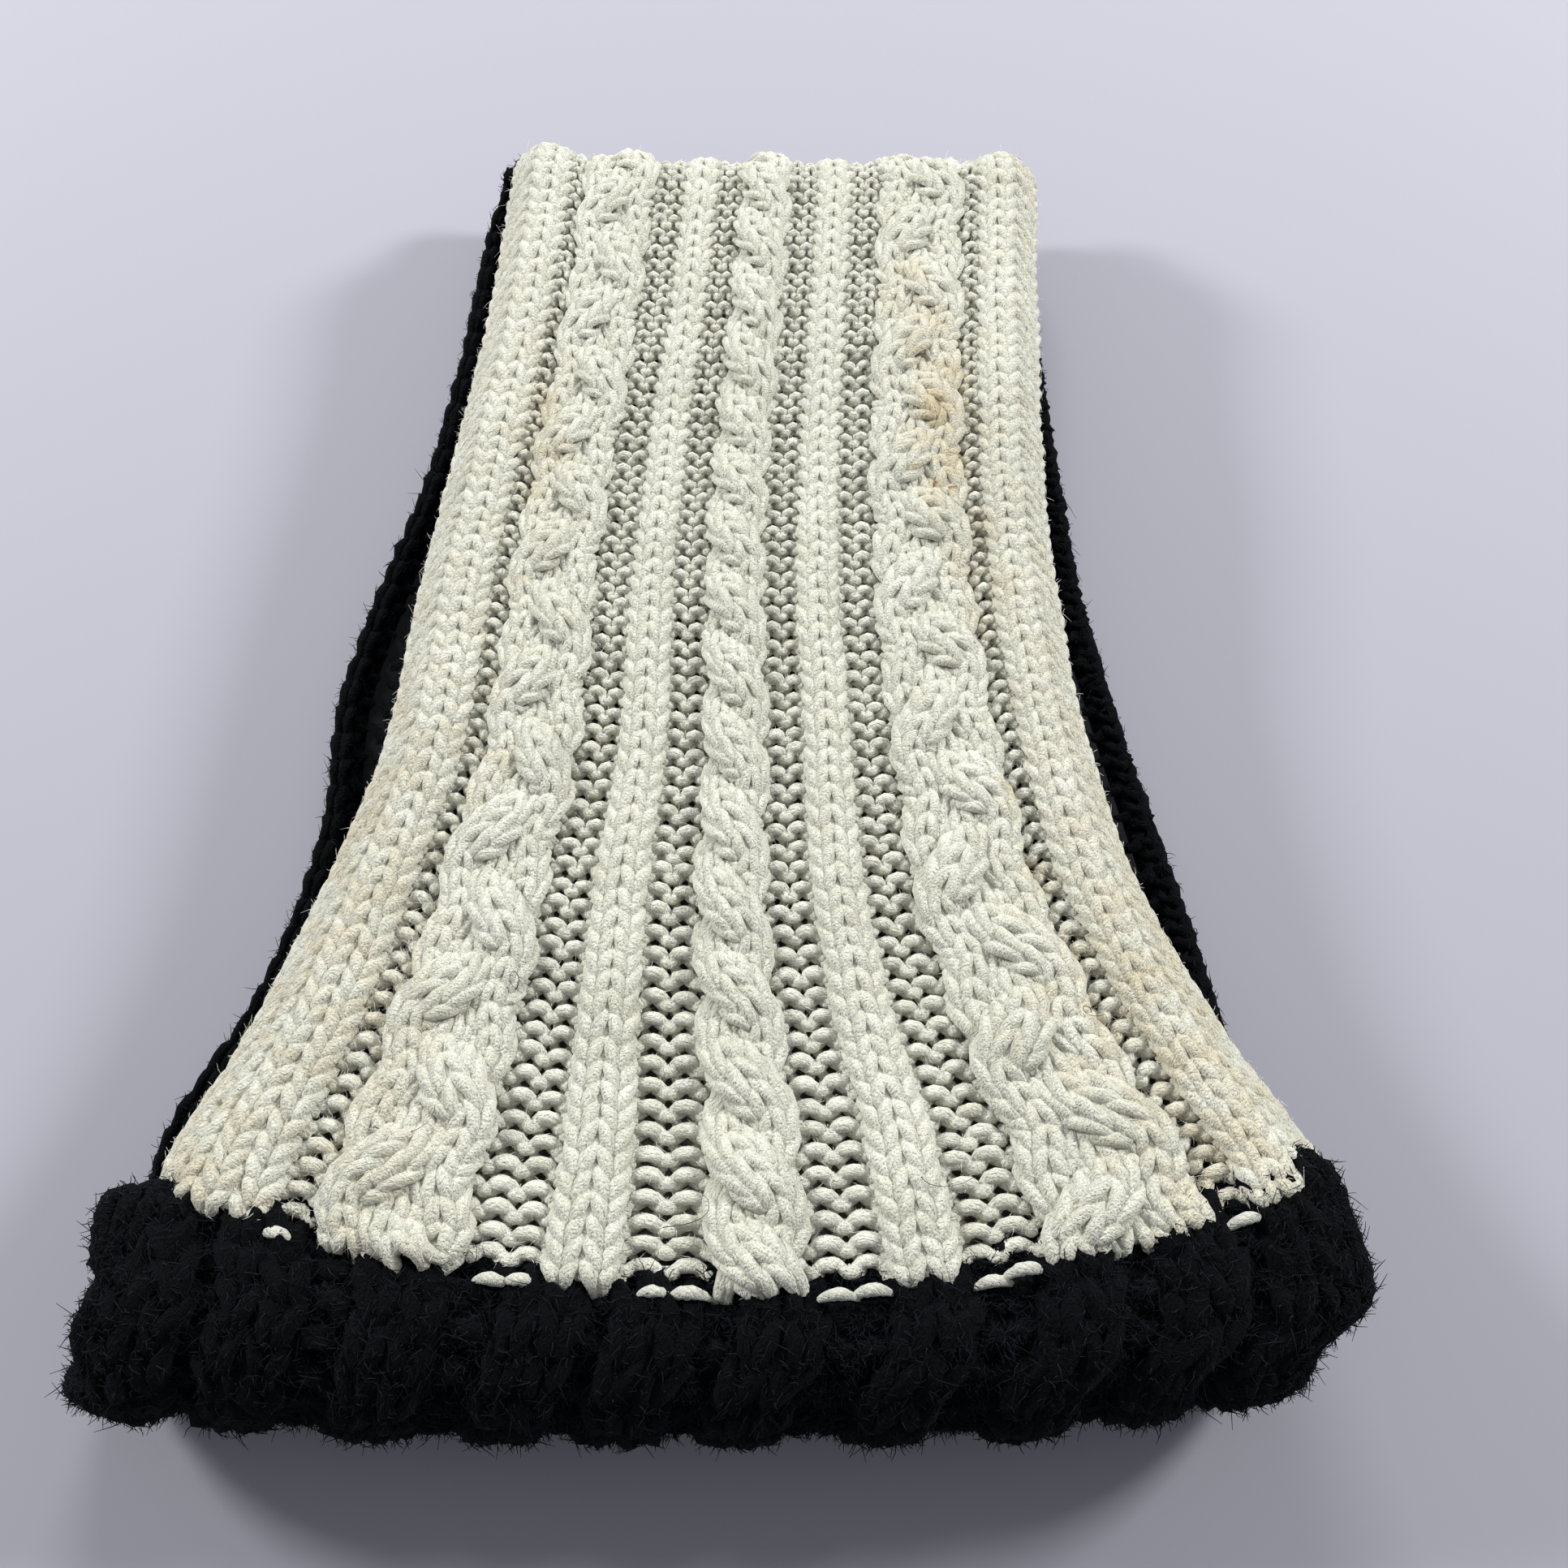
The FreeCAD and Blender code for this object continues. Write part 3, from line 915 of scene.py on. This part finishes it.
@dataclass
class CreamHalf:
    """The cream cabled fabric, from the colour change over the top to the far seam.

    Lifts are in millimetres, and fold_row is where the far fold's own piece starts. A rope crosses every
    rope_rows, and each pair of a plait's strands every plait_rows. A cross is a crossing's (spread, lift).
    """

    shape: LoopShape
    yarn: Yarn = CREAM_YARN
    rib_lift: float = 1.5
    purl_lift: float = -1.25
    crown: float = 1.4
    fold_row: float = 60.5
    rope_rows: int = 4
    plait_rows: int = 8
    rope_cross: tuple[float, float] = (1.7, 2.0)
    plait_cross: tuple[float, float] = (1.65, 1.9)
    rough: float = 0.045
    flat: float = 0.12

    def rib_level(self, s: Array) -> Array:
        """Returns how far the ribs and cables stand out at row s: less where the far fold stretches them."""
        return self.rib_lift - 0.3 * smooth(s, 30.0, 62.0)

    def purl_level(self, s: Array) -> Array:
        """Returns how far the purl gutters lie back at row s: they come forward towards the far fold."""
        return self.purl_lift + 0.9 * smooth(s, 10.0, 58.0)

    def strands(self, band: Band, first: float) -> list[Strand]:
        """Returns the strands of a band whose left border is wale first."""
        middle = even(first + band.wales / 2)
        if band.lay is Lay.STRAIGHT and band.face is Face.PURL:
            return [Strand(band.wales, band.face, middle, self.purl_level, even(1.04), tails=1.3, calm=0.5)]
        if band.lay is Lay.STRAIGHT:
            return [Strand(band.wales, band.face, middle, self.rib_level, even(0.95), self.crown, tails=0.03)]
        rows = self.shape.cream_rows + 8
        if band.lay is Lay.ROPE:
            events = [(band.first_cross + self.rope_rows * k, 1, 0) for k in range(-1, rows // self.rope_rows)]
            cables = cable_strands((-1.0, 1.0), events, *self.rope_cross)
        else:
            step = self.plait_rows
            marks = [band.first_cross + step * k for k in range(-1, rows // step + 1)]
            events = sorted([(row, 0, 1) for row in marks] + [(row + step / 2, 2, 1) for row in marks])
            cables = cable_strands((-2.0, 0.0, 2.0), events, *self.plait_cross)
        return [
            Strand(
                2,
                Face.KNIT,
                lambda s, cable=cable: middle(s) + cable.centre(s),
                lambda s, cable=cable: self.rib_level(s) + cable.height(s),
                cable.width,
                crown=1.5,
                tails=0.02,
            )
            for cable in cables
        ]

    def build(self, wool: Material) -> tuple[list[Object], TubeSet]:
        """Builds every band and the far fold, and returns the pieces and all their yarn."""
        fabric = Fabric(self.yarn, self.shape.cream, tan_ageing)
        rows = np.arange(0.0, self.shape.cream_rows + 0.5)
        flat = rows[rows < self.fold_row]
        turned = rows[rows >= self.fold_row]
        fold = TubeSet(self.yarn.sides, self.rough, self.flat)
        every = TubeSet(self.yarn.sides)
        selvedges = {"left_edge_rib": 0.0, "right_edge_rib": float(CREAM_WALES)}
        pieces = []
        first = 0.0
        for number, band in enumerate(CREAM_BANDS):
            tubes = TubeSet(self.yarn.sides, self.rough, self.flat)
            for k, strand in enumerate(self.strands(band, first)):
                seed = 100 + 10 * number + k
                strand.knit(fabric, flat, tubes, seed)
                strand.knit(fabric, turned, fold, seed + 500)
                if band.face is Face.KNIT:
                    strand.fill(fabric, flat, tubes)
                    strand.fill(fabric, turned, fold)
            if band.name in selvedges:
                edge = even(selvedges[band.name])
                chain = Strand(1, Face.KNIT, edge, self.rib_level, even(0.8), crown=0.0, tails=0.0)
                chain.knit(fabric, flat[1:], tubes, 700 + number)
                chain.knit(fabric, turned, fold, 720 + number)
            pieces.append(put("knit_" + band.name, tubes.mesh(band.name), wool, [band.name]))
            every.rings += tubes.rings
            first += band.wales
        every.rings += fold.rings
        name = "cream_far_fold"
        pieces.append(put("knit_" + name, fold.mesh(name), wool, [name]))
        return pieces, every


@dataclass
class CharcoalHalf:
    """The bulky brushed fabric: round the near fold, along the underside and up the far end.

    ribs holds each rib's (middle, width), as shares of the fabric's width. What lies between them is purl, of
    one wale where it is narrower than wide_purl. The rows up to near_rows are the near fold, those from
    turn_row on the far turn, and edge_share is how wide the underside's side strips are.
    """

    shape: LoopShape
    yarn: Yarn = CHARCOAL_YARN
    near_yarn: Yarn = NEAR_FOLD_YARN
    rough: float = 0.13
    near_rough: float = 0.16
    rib_lift: float = 0.9
    purl_lift: float = -2.0
    tuck_in: float = 2.2
    chain_lift: float = -0.6
    chain_step: float = 0.55
    chain_width: float = 0.024
    chain_places: tuple[float, float] = (0.006, 0.994)
    near_rows: float = 12.0
    turn_row: float = 50.0
    edge_share: float = 0.085
    wide_purl: float = 0.045
    ribs: Points = (
        (0.040, 0.066), (0.130, 0.066), (0.240, 0.070), (0.350, 0.066), (0.441, 0.068),
        (0.541, 0.068), (0.661, 0.064), (0.776, 0.066), (0.876, 0.062), (0.960, 0.062),
    )  # fmt: skip

    def bands(self) -> list[tuple[float, float, Face]]:
        """Returns the bands across the fabric as (middle, width, face)."""
        bands = []
        edge = 0.0
        for middle, width in self.ribs:
            low = middle - width / 2
            if low - edge > 0.004:
                bands.append(((edge + low) / 2, low - edge, Face.PURL))
            bands.append((middle, width, Face.KNIT))
            edge = middle + width / 2
        return bands

    def level(self, lift: float) -> Track:
        """Returns the height of a band with this lift: less beside the colour change, where it tucks in."""
        return lambda s: lift - self.tuck_in * hump(s, 0.0, 1.3)

    def parts(self, rows: Array, side: str) -> list[tuple[Fabric, Array, str]]:
        """Shares rows out among the pieces, from the near fold to the far turn.

        Args:
            rows: the rows.
            side: the piece that takes the rows of the underside.

        Returns:
            The fabric, the rows and the piece's name of each part.
        """
        near = Fabric(self.near_yarn, self.shape.charcoal, no_ageing)
        rest = Fabric(self.yarn, self.shape.charcoal, no_ageing)
        under = (rows <= -self.near_rows) & (rows > -self.turn_row)
        return [
            (near, rows[rows > -self.near_rows], "charcoal_near_fold"),
            (rest, rows[under], side),
            (rest, rows[rows <= -self.turn_row], "charcoal_far_turn"),
        ]

    def build(self, wool: Material) -> tuple[list[Object], dict[str, TubeSet]]:
        """Builds the pieces, and returns them with their yarn runs for the nap to grow from."""
        rows = -np.arange(0.6, self.shape.charcoal_rows)
        groups = {"charcoal_near_fold": TubeSet(self.near_yarn.sides, self.near_rough)}
        for name in ("lower_left_edge", "lower_panel", "lower_right_edge", "charcoal_far_turn"):
            groups[name] = TubeSet(self.yarn.sides, self.rough)
        for number, (middle, width, face) in enumerate(self.bands()):
            knit = face is Face.KNIT
            wales = 1 if width < self.wide_purl and not knit else 2
            lift = self.level(self.rib_lift if knit else self.purl_lift)
            tails = 0.12 if knit else 0.5
            strand = Strand(wales, face, even(middle), lift, even(width / wales), crown=1.4, tails=tails)
            side = "lower_left_edge" if middle < self.edge_share else "lower_panel"
            side = "lower_right_edge" if middle > 1 - self.edge_share else side
            for part, (fabric, some, name) in enumerate(self.parts(rows, side)):
                strand.knit(fabric, some, groups[name], 900 + 10 * number + part)
                if part == 0 and knit:
                    strand.fill(fabric, some, groups[name])
        self.chain(groups)
        pieces = []
        for name, tubes in groups.items():
            pieces.append(put("knit_" + name, tubes.mesh(name), wool, [name]))
        return pieces, groups

    def chain(self, groups: dict[str, TubeSet]) -> None:
        """Adds the plump selvedge chain along both selvedges, through the near fold, the side strips and the
        far turn.
        """
        rows = -np.arange(0.4, self.shape.charcoal_rows - 0.3, self.chain_step)
        for number, middle in enumerate(self.chain_places):
            side = ("lower_left_edge", "lower_right_edge")[number]
            width = even(self.chain_width)
            strand = Strand(1, Face.KNIT, even(middle), even(self.chain_lift), width, crown=0.0, tails=0.0)
            for part, (fabric, some, name) in enumerate(self.parts(rows, side)):
                strand.knit(fabric, some, groups[name], 1300 + 10 * number + part)


def flattened(ways: Array, outs: Array, keep: float) -> Array:
    """Returns directions with only a share, keep, of their part along the outward directions."""
    return ways - (1.0 - keep) * np.sum(ways * outs, axis=-1, keepdims=True) * outs


@dataclass(frozen=True)
class Nap:
    """The brushed surface: loose fibres that stand out of the yarn.

    Lengths and the radius at the root are in millimetres. lean is how far fibres bend along the yarn, stand
    the least share of their way that goes outwards, and facing how far out on the yarn they start, 0 to 1.
    """

    per_piece: int
    low_mm: float
    high_mm: float
    root_mm: float
    lean: float = 0.6
    stand: float = 0.3
    facing: float = 0.45

    def grow(self, name: str, tubes: TubeSet, reach: tuple[float, float], seed: int, tone: float) -> Mesh:
        """Grows fibres, as thin closed threads, from the outer side of runs of yarn.

        Args:
            name: the mesh's name.
            tubes: the runs of yarn.
            reach: the least and the most x of a fibre's root, in millimetres.
            seed: picks the fibres.
            tone: how pale they are, 0 to 1.

        Returns:
            The mesh.
        """
        rng = np.random.default_rng(seed)
        roots = []
        ways = []
        facing = []
        for ring, _, dye in tubes.rings:
            away = ring - ring.mean(axis=2, keepdims=True)
            away = away / np.maximum(np.linalg.norm(away, axis=-1, keepdims=True), 1e-6)
            roots.append(ring[:, 1:-1].reshape(-1, 3))
            ways.append(away[:, 1:-1].reshape(-1, 3))
            facing.append(dye[:, 1:-1, :, 2].reshape(-1))
        root = np.concatenate(roots)
        inside = (root[:, 0] >= reach[0]) & (root[:, 0] < reach[1]) & (root[:, 2] > NAP_CLEAR_MM)
        fit = np.flatnonzero(inside & (np.concatenate(facing) > self.facing))
        pick = rng.choice(fit, min(self.per_piece, len(fit)), replace=False)
        stand = self.stand + (1.0 - self.stand) * rng.random((len(pick), 1)) ** FEW_STAND
        outs = np.concatenate(ways)[pick]
        way = stand * outs + flattened(rng.normal(0.0, self.lean, (len(pick), 3)), outs, 0.15)
        way = way / np.linalg.norm(way, axis=-1, keepdims=True)
        lengths = self.low_mm + (self.high_mm - self.low_mm) * rng.random(len(pick)) ** 3
        rng = np.random.default_rng(seed + 1)
        shape = (len(pick), 3)
        curl = flattened(np.clip(rng.normal(0.0, 0.6, shape), -1.0, 1.0), outs, 0.35)
        steps = np.linspace(0.0, 1.0, 3)[None, :, None]
        path = root[pick][:, None, :] + lengths[:, None, None] * (
            way[:, None, :] * steps + curl[:, None, :] * steps**2
        )
        path[..., 2] = np.maximum(path[..., 2], 2 * LOWEST_MM)
        radius = self.root_mm * np.broadcast_to(np.array([1.0, 0.85, 0.4]), shape)
        shade = np.clip(rng.normal(tone, 0.2, (len(pick), 1)), 0.0, 1.0)
        threads = TubeSet(3)
        upward = np.broadcast_to(np.array(FIBRE_UP), path.shape)
        threads.add(path, upward, radius, np.broadcast_to(shade, shape), np.zeros(shape), 0.0)
        return threads.mesh(name)


def strip(number: int, count: int, half: float) -> tuple[float, float]:
    """Returns the least and the most x of one of count strips side by side, which reach half to both sides."""
    low = -half + 2 * half * number / count
    return (low, low + 2 * half / count)


# Real wool fibres are about 0.03 mm thick, too fine to show, so these are drawn several times thicker.
NEAR_FOLD_NAP = Nap(14000, 1.5, 2.8, 0.12, stand=0.22)
CREAM_FUZZ_NAP = Nap(13000, 0.8, 1.9, 0.06, stand=0.2, facing=0.5)
SIDE_NAPS = {
    "lower_left_edge": Nap(13000, 1.1, 2.2, 0.10, stand=0.2, facing=0.0),
    "lower_right_edge": Nap(13000, 1.1, 2.2, 0.10, stand=0.2, facing=0.0),
    "charcoal_far_turn": Nap(8000, 1.1, 2.4, 0.10),
    "lower_panel": Nap(6000, 1.1, 2.4, 0.10),
}
# How far fibres keep from the floor.
NAP_CLEAR_MM = 4.0
# The higher, the fewer fibres stand up.
FEW_STAND = 9
# A direction that hardly any fibre follows, to turn its threads by.
FIBRE_UP = (0.31, 0.17, 0.93)
# A nap with more fibres than one mesh can hold is made as strips.
CREAM_FUZZ_STRIPS = 4
NEAR_FOLD_STRIPS = 8


def backing(name: str, place: Place, across: Array, rows: Array, height: float, thick: float) -> Mesh:
    """Makes the thin closed web that stands for the hidden inner loops of a fabric.

    Args:
        name: the mesh's name.
        place: turns (wale, row, height) into points.
        across: wales of its columns.
        rows: rows of its lines.
        height: its outer side, off the fabric's middle, in millimetres.
        thick: its thickness, in millimetres.

    Returns:
        The mesh.
    """
    c, s = np.meshgrid(across, rows, indexing="ij")
    top = place(c, s, np.full(c.shape, height))[0]
    low = place(c, s, np.full(c.shape, height - thick))[0]
    index = np.arange(c.size).reshape(c.shape)
    quad = np.stack([index[:-1, :-1], index[1:, :-1], index[1:, 1:], index[:-1, 1:]], -1).reshape(-1, 4)
    rim = np.concatenate([index[:, 0], index[-1, 1:], index[-2::-1, -1], index[0, -2:0:-1]])
    after = np.roll(rim, -1)
    side = np.stack([after, rim, rim + c.size, after + c.size], -1)
    quads = np.concatenate([quad, quad[:, ::-1] + c.size, side])
    verts = np.concatenate([top.reshape(-1, 3), low.reshape(-1, 3)])
    plain = np.tile([0.5, 0.0, 0.5, 1.0], (len(verts), 1))
    return solid_mesh(name, verts * MM, quads[:-1], quads[-1:], {"lay": verts, "dye": plain})


@dataclass
class ColourChange:
    """Where the cream yarn starts: its purl bumps lie as separate white dashes among the charcoal loops."""

    shape: LoopShape
    radius: float = 1.35
    half_length: float = 4.0
    top_z: float = 41.0
    row: float = -0.75
    uneven: float = 0.12

    def build(self, wool: Material) -> Object:
        """Builds the row and returns it."""
        rng = np.random.default_rng(41)
        tubes = TubeSet(8, 0.07)
        first = 0.0
        for band in CREAM_BANDS:
            if band.face is Face.PURL:
                for k in range(band.wales):
                    self.dash(tubes, first + k + 0.5 + rng.normal(0.0, self.uneven), rng)
            first += band.wales
        mesh = tubes.mesh("colour_change_row")
        return put("colour_change_stitches", mesh, wool, ["colour_change_row"])

    def at(self, wale: float, row: float) -> tuple[Array, Array]:
        """Returns one place of the cream fabric and its outward direction."""
        return self.shape.cream(np.array([[wale]]), np.array([[row]]), np.array([[0.0]]))

    def dash(self, tubes: TubeSet, wale: float, rng: np.random.Generator) -> None:
        """Adds one purl bump at a wale."""
        t = np.linspace(-1.0, 1.0, 13)[None, :]
        spot, out = self.at(wale, self.row + rng.normal(0.0, self.uneven))
        way = (self.at(wale + 0.1, -0.5)[0] - self.at(wale, -0.5)[0])[0, 0]
        way = way / np.linalg.norm(way)
        half = self.half_length * rng.uniform(0.8, 1.05)
        path = spot + way * (t * half)[..., None]
        path[..., 1] -= 0.8 * t**2
        path[..., 2] = self.top_z + rng.normal(0.0, 0.4) - 3.0 * np.abs(t) ** 2.2
        radius = self.radius * rng.uniform(0.85, 1.0) * (1.0 - 0.62 * np.abs(t) ** 2)
        outs = np.broadcast_to(out, path.shape)
        tubes.add(path, outs, radius, np.full(t.shape, 0.55), np.zeros(t.shape), 0.8)


@dataclass
class StrayHairs:
    """A few long thin charcoal hairs that have come loose and lie on the cream wool.

    places holds each hair's (wale, row, size in wales, turn in radians).
    """

    shape: LoopShape
    radius: float = 0.09
    lift: float = 4.3
    places: tuple[tuple[float, float, float, float], ...] = (
        (9.6, 11.5, 2.2, 0.6), (24.0, 3.4, 1.6, 2.0), (6.5, 5.0, 1.8, 3.4), (31.5, 9.0, 1.5, 1.0),
        (15.5, 2.6, 1.2, 4.2),
    )  # fmt: skip

    def build(self, wool: Material) -> Object:
        """Builds the hairs, each a loose curl, and returns them as one piece."""
        tubes = TubeSet(4)
        t = np.linspace(0.0, 1.0, 15)[None, :]
        for wale, row, size, turn in self.places:
            bend = turn + 3.6 * t**1.5
            c = wale + size * 0.6 * (t - 0.5) + 0.35 * size * np.cos(bend)
            s = row + size * 0.5 * t + 0.35 * size * np.sin(bend)
            path, out = self.shape.cream(c, s, self.lift + 0.5 * np.sin(4.0 * t + turn))
            tubes.add(path, out, self.radius * (1.0 - 0.5 * t), np.full(t.shape, 0.3), np.zeros(t.shape), 0.0)
        return put("stray_hairs", tubes.mesh("stray_hairs"), wool)


@dataclass
class FarSeam:
    """The seam on the outside of the far fold: one charcoal thread that whips the two fabrics together."""

    shape: LoopShape
    stitches: int = 24
    radius: float = 1.1
    inset: float = 3.0
    reach: float = 19.6
    bite: float = 3.4

    def build(self, wool: Material) -> Object:
        """Builds the seam and returns it."""
        tubes = TubeSet(7)
        rng = np.random.default_rng(23)
        left = self.shape.cream_left[-1][1] + self.inset
        right = self.shape.cream_right[-1][1] - self.inset
        t = np.linspace(-1.0, 1.0, 13)[None, :]
        turn = 0.30 * t
        reach = self.reach - self.bite * np.abs(t) ** 3
        for x in np.linspace(left, right, self.stitches):
            lean = 2.2 + rng.normal(0.0, 0.3)
            y = self.shape.fold_y + self.shape.far_edge(np.array(x)) + reach * np.cos(turn)
            path = np.stack([x + lean * t, y, self.shape.middle_z + reach * np.sin(turn)], -1)
            out = np.stack([0 * t, np.cos(turn), np.sin(turn)], -1)
            tubes.add(path, out, np.full(t.shape, self.radius), np.full(t.shape, 0.5), np.zeros(t.shape), 0.6)
        return put("far_seam_thread", tubes.mesh("far_seam"), wool, ["far_seam"])


@dataclass(frozen=True)
class Lamp:
    """A square soft light at spot, turned to face aim; sizes in metres, power in watts."""

    name: str
    spot: tuple[float, float, float]
    aim: tuple[float, float, float]
    size: float
    watts: float

    def hang(self) -> None:
        """Adds the light to the scene."""
        light = bpy.data.lights.new(self.name, "AREA")
        light.size = self.size
        light.energy = self.watts
        holder = bpy.data.objects.new(self.name, light)
        holder.location = self.spot
        x, y, z = (a - b for a, b in zip(self.aim, self.spot))
        holder.rotation_euler = (math.atan2(math.hypot(x, y), -z), 0.0, math.atan2(-x, y))
        bpy.context.scene.collection.objects.link(holder)


@dataclass
class Studio:
    """Plain pale floor, soft light from both sides and the back, and the camera, which looks down."""

    eye_mm: tuple[float, float, float] = (12.0, -182.0, 345.0)
    pitch: float = 64.0
    lens: float = 36.3
    sensor: float = 36.0
    floor_half: float = 1.6
    room_light: float = 0.32
    lamps: tuple[Lamp, ...] = (
        Lamp("left_window", (-1.10, 0.45, 0.66), (0.0, 0.0, 0.0), 0.24, 15.0),
        Lamp("right_window", (1.10, 0.45, 0.70), (0.0, 0.0, 0.0), 0.24, 15.5),
        Lamp("ceiling", (0.0, 1.05, 0.85), (0.0, 0.1, 0.0), 0.5, 8.0),
    )

    def build(self) -> None:
        """Builds the floor, the lights and the camera."""
        scene = bpy.context.scene
        scene.view_settings.view_transform = "Standard"
        scene.view_settings.look = "None"
        self.lay_floor()
        world = bpy.data.worlds.new("soft_room")
        scene.world = world
        world.use_nodes = True
        world.node_tree.nodes["Background"].inputs["Color"].default_value = linear("#EEF2FA")
        world.node_tree.nodes["Background"].inputs["Strength"].default_value = self.room_light
        for lamp in self.lamps:
            lamp.hang()
        camera = bpy.data.cameras.new("camera")
        camera.lens = self.lens
        camera.sensor_width = self.sensor
        camera.clip_start = 0.01
        eye = bpy.data.objects.new("camera", camera)
        eye.location = tuple(v * MM for v in self.eye_mm)
        eye.rotation_euler = (math.radians(90.0 - self.pitch), 0.0, 0.0)
        scene.collection.objects.link(eye)
        scene.camera = eye

    def lay_floor(self) -> None:
        """Lays a flat matt cloth, pale lilac grey, under the gaiter."""
        half = self.floor_half
        mesh = bpy.data.meshes.new("floor")
        corners = [(-half, -half, 0), (half, -half, 0), (half, half, 0), (-half, half, 0)]
        mesh.from_pydata(corners, [], [(0, 1, 2, 3)])
        floor = bpy.data.objects.new("floor", mesh)
        bpy.context.scene.collection.objects.link(floor)
        cloth = bpy.data.materials.new("pale_cloth")
        cloth.use_nodes = True
        skin = cloth.node_tree.nodes["Principled BSDF"]
        skin.inputs["Base Color"].default_value = linear("#A9A8B2")
        skin.inputs["Roughness"].default_value = 0.9
        mesh.materials.append(cloth)
        floor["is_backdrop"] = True


def main(cad_box: list) -> None:
    """Builds the gaiter and the studio, in order."""
    logging.basicConfig(level=logging.INFO, format="%(message)s")
    Studio().build()
    shape = LoopShape()
    cream_wool = CREAM_WOOL.make()
    charcoal_wool = CHARCOAL_WOOL.make()
    nap_wool = CHARCOAL_NAP.make()
    cream_pieces, cream_runs = CreamHalf(shape).build(cream_wool)
    cream_pieces.append(ColourChange(shape).build(cream_wool))
    charcoal_pieces, runs = CharcoalHalf(shape).build(charcoal_wool)
    charcoal_pieces.append(FarSeam(shape).build(charcoal_wool))
    charcoal_pieces.append(StrayHairs(shape).build(nap_wool))
    fuzz_wool = CREAM_FUZZ.make()
    for number in range(CREAM_FUZZ_STRIPS):
        reach = strip(number, CREAM_FUZZ_STRIPS, 120.0)
        mesh = CREAM_FUZZ_NAP.grow("cream_fuzz", cream_runs, reach, 280 + number, 0.6)
        cream_pieces.append(put("cream_fuzz_%d" % (number + 1), mesh, fuzz_wool))
    for number in range(NEAR_FOLD_STRIPS):
        reach = strip(number, NEAR_FOLD_STRIPS, 140.0)
        mesh = NEAR_FOLD_NAP.grow("nap_near_fold", runs["charcoal_near_fold"], reach, 300 + number, 0.4)
        charcoal_pieces.append(put("nap_near_fold_%d" % (number + 1), mesh, nap_wool))
    for name, nap in SIDE_NAPS.items():
        mesh = nap.grow("nap_" + name, runs[name], (-200.0, 200.0), 310, 0.4)
        charcoal_pieces.append(put("nap_" + name, mesh, nap_wool))
    # The cream web is painted shade: a grey sheet just under the stitches that darkens the gaps between them.
    web = backing("cream_painted_shade_web", shape.cream, np.linspace(0.6, 35.4, 60), np.linspace(1.0, 66.0, 90), -4.9, 0.8)
    cream_painted_shade_web = put("cream_inner_loops_painted_shade", web, CREAM_PAINTED_SHADE.make())
    rows = np.linspace(-54.0, -0.6, 110)
    web = backing("charcoal_web", shape.charcoal, np.linspace(0.03, 0.97, 60), rows, -0.9, 0.9)
    charcoal_web = put("charcoal_inner_loops", web, CHARCOAL_SHADE.make())


if __name__ == "__main__":
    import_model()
    main(list(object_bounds()))
